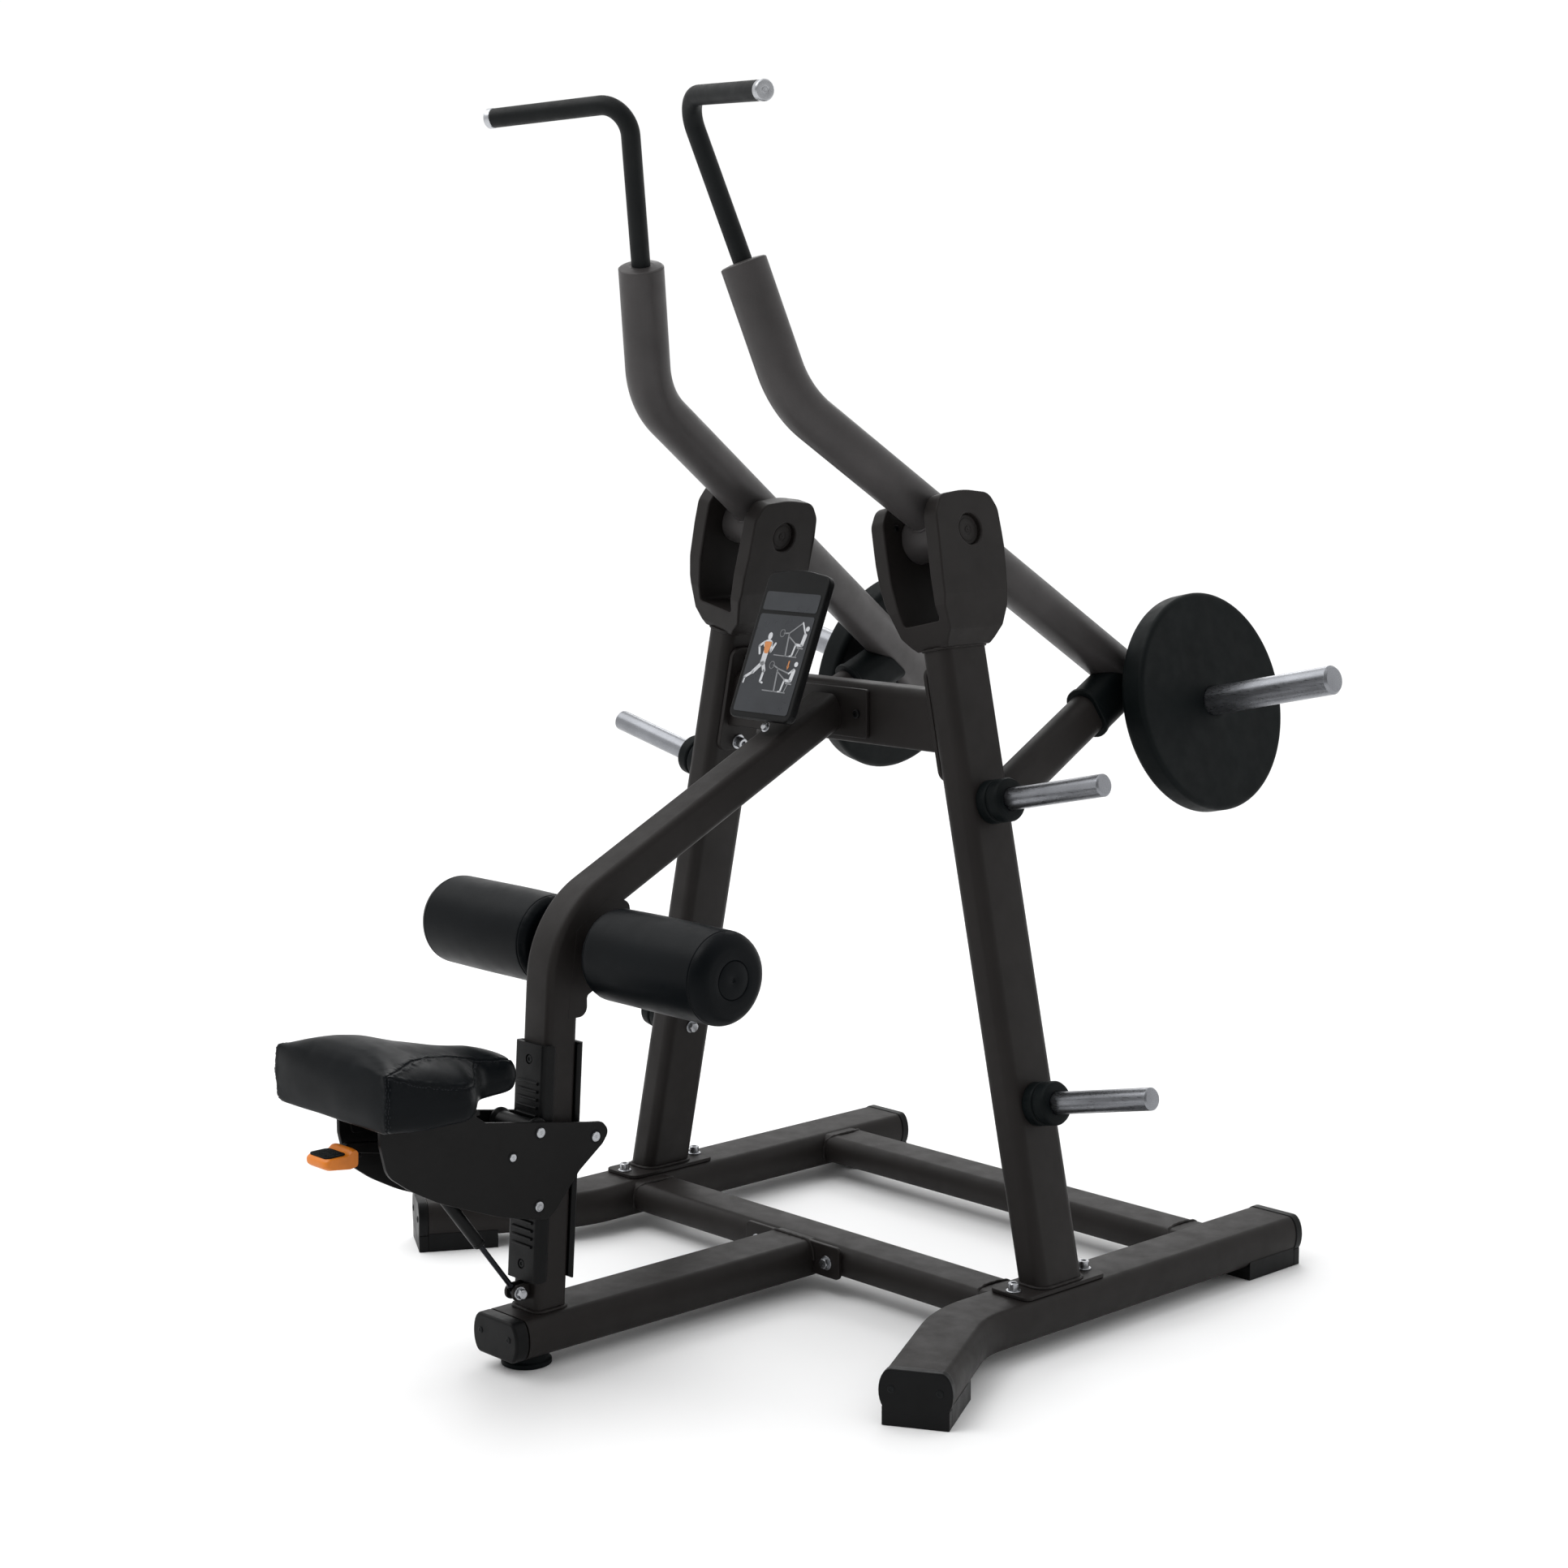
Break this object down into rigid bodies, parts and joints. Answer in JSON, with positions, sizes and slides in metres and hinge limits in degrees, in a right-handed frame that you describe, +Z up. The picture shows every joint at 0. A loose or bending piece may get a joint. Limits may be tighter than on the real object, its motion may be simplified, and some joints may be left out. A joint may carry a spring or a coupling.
{
  "type": "plate-loaded lat pulldown machine",
  "caption": "Plate-loaded pulldown machine with independent lever arms, thigh rollers and an adjustable saddle seat on a tubular frame.",
  "frame": {"origin": "on the floor, under the centre of the machine's bounding box", "axes": "+X to the machine's right as the user sits facing the frame, +Y from the seat towards the weight horns, +Z up"},
  "size_m": [1.4116, 1.8068, 2.0193],
  "materials": {
    "frame_paint": "black-brown textured powder coat",
    "arm_paint": "metallic dark grey powder coat",
    "black_plastic": "moulded black, satin",
    "rubber": "matt black rubber",
    "vinyl": "black upholstery vinyl, fine grain",
    "steel": "brushed, turned ends",
    "zinc": "bright zinc",
    "orange_plastic": "orange moulding with a black insert",
    "placard": "dark printed panel"
  },
  "bodies": {
    "frame": {"cross_front": "frame_paint", "cross_rear": "frame_paint", "rail_right": "frame_paint", "foot_front_right": "black_plastic", "foot_rear_right": "black_plastic", "rail_left": "frame_paint", "foot_front_left": "black_plastic", "foot_rear_left": "black_plastic", "centre_rail": "frame_paint", "centre_cap": "black_plastic", "centre_foot": "rubber", "upright_right": "frame_paint", "yoke_right": "frame_paint", "pivot_pin_right": "black_plastic", "stop_arm_right": "frame_paint", "stop_bumper_right": "rubber", "storage_horn_upper_right": "steel", "storage_collar_upper_right": "rubber", "storage_horn_lower_right": "steel", "storage_collar_lower_right": "rubber", "upright_left": "frame_paint", "yoke_left": "frame_paint", "pivot_pin_left": "black_plastic", "stop_arm_left": "frame_paint", "stop_bumper_left": "rubber", "storage_horn_upper_left": "steel", "storage_collar_upper_left": "rubber", "storage_horn_lower_left": "steel", "storage_collar_lower_left": "rubber", "crossbeam": "frame_paint", "seat_post": "frame_paint", "guide_front": "black_plastic", "guide_rear": "black_plastic", "placard": "placard", "roller_axle": "steel"},
    "arm_right": {"arm_right": "arm_paint", "pivot_bush_right": "zinc", "grip_sleeve_right": "rubber", "grip_cap_right": "zinc", "guard_disc_right": "rubber", "load_horn_right": "steel"},
    "thigh_roller_right": {"thigh_roller_right": "vinyl"},
    "arm_left": {"arm_left": "arm_paint", "pivot_bush_left": "zinc", "grip_sleeve_left": "rubber", "grip_cap_left": "zinc", "guard_disc_left": "rubber", "load_horn_left": "steel"},
    "thigh_roller_left": {"thigh_roller_left": "vinyl"},
    "seat": {"carriage_plate_right": "frame_paint", "carriage_plate_left": "frame_paint", "pad_bracket": "frame_paint", "seat_pad": "vinyl"},
    "guide_roller_rear": {"guide_roller_rear": "black_plastic"},
    "guide_roller_lower": {"guide_roller_lower": "black_plastic"},
    "guide_roller_upper": {"guide_roller_upper": "black_plastic"},
    "latch_lever": {"adjust_lever": "frame_paint", "lever_grip": "orange_plastic"},
    "gas_rod": {"gas_rod": "steel"},
    "gas_cylinder": {"gas_cylinder": "black_plastic"}
  },
  "joints": [
    {"name": "arm_right_pivot", "type": "hinge", "parent": "frame", "child": "arm_right", "pos_m": [0.22251, 0.1946, 1.3087], "axis": [0.9761, 0, 0.2171], "range_deg": [0, 62]},
    {"name": "arm_left_pivot", "type": "hinge", "parent": "frame", "child": "arm_left", "pos_m": [-0.22251, 0.1946, 1.3087], "axis": [0.9761, 0, -0.2171], "range_deg": [0, 62]},
    {"name": "thigh_roller_right_spin", "type": "hinge", "parent": "frame", "child": "thigh_roller_right", "pos_m": [0, -0.3854, 0.663], "axis": [1, 0, 0], "continuous": true},
    {"name": "thigh_roller_left_spin", "type": "hinge", "parent": "frame", "child": "thigh_roller_left", "pos_m": [0, -0.3854, 0.663], "axis": [1, 0, 0], "continuous": true},
    {"name": "seat_slide", "type": "slide", "parent": "frame", "child": "seat", "axis": [0, 0.0643, 0.9979], "range_m": [-0.08, 0.09]},
    {"name": "guide_roller_rear_roll", "type": "hinge", "parent": "seat", "child": "guide_roller_rear", "pos_m": [0, -0.41457, 0.366], "axis": [1, 0, 0], "range_deg": [-420, 420]},
    {"name": "guide_roller_lower_roll", "type": "hinge", "parent": "seat", "child": "guide_roller_lower", "pos_m": [0, -0.53133, 0.274], "axis": [1, 0, 0], "range_deg": [-420, 420]},
    {"name": "guide_roller_upper_roll", "type": "hinge", "parent": "seat", "child": "guide_roller_upper", "pos_m": [0, -0.52667, 0.393], "axis": [1, 0, 0], "range_deg": [-420, 420]},
    {"name": "latch_lever_lift", "type": "hinge", "parent": "seat", "child": "latch_lever", "pos_m": [0, -0.5824, 0.363], "axis": [-1, 0, 0], "range_deg": [0, 5], "stiffness_Nm_per_rad": 8, "springref_deg": -5.73},
    {"name": "gas_rod_swing", "type": "hinge", "parent": "frame", "child": "gas_rod", "pos_m": [0, -0.5364, 0.122], "axis": [1, 0, 0], "range_deg": [-14, 14]},
    {"name": "gas_cylinder_slide", "type": "slide", "parent": "gas_rod", "child": "gas_cylinder", "axis": [0, -0.6033, 0.7975], "range_m": [-0.08, 0.08]}
  ],
  "couplings": [
    {"joint": "gas_rod_swing", "follows": "seat_slide", "rad_per_m": -2.2655},
    {"joint": "gas_cylinder_slide", "follows": "seat_slide", "ratio": 0.757},
    {"joint": "guide_roller_rear_roll", "follows": "seat_slide", "rad_per_m": 71.429},
    {"joint": "guide_roller_lower_roll", "follows": "seat_slide", "rad_per_m": -71.429},
    {"joint": "guide_roller_upper_roll", "follows": "seat_slide", "rad_per_m": -58.824}
  ]
}
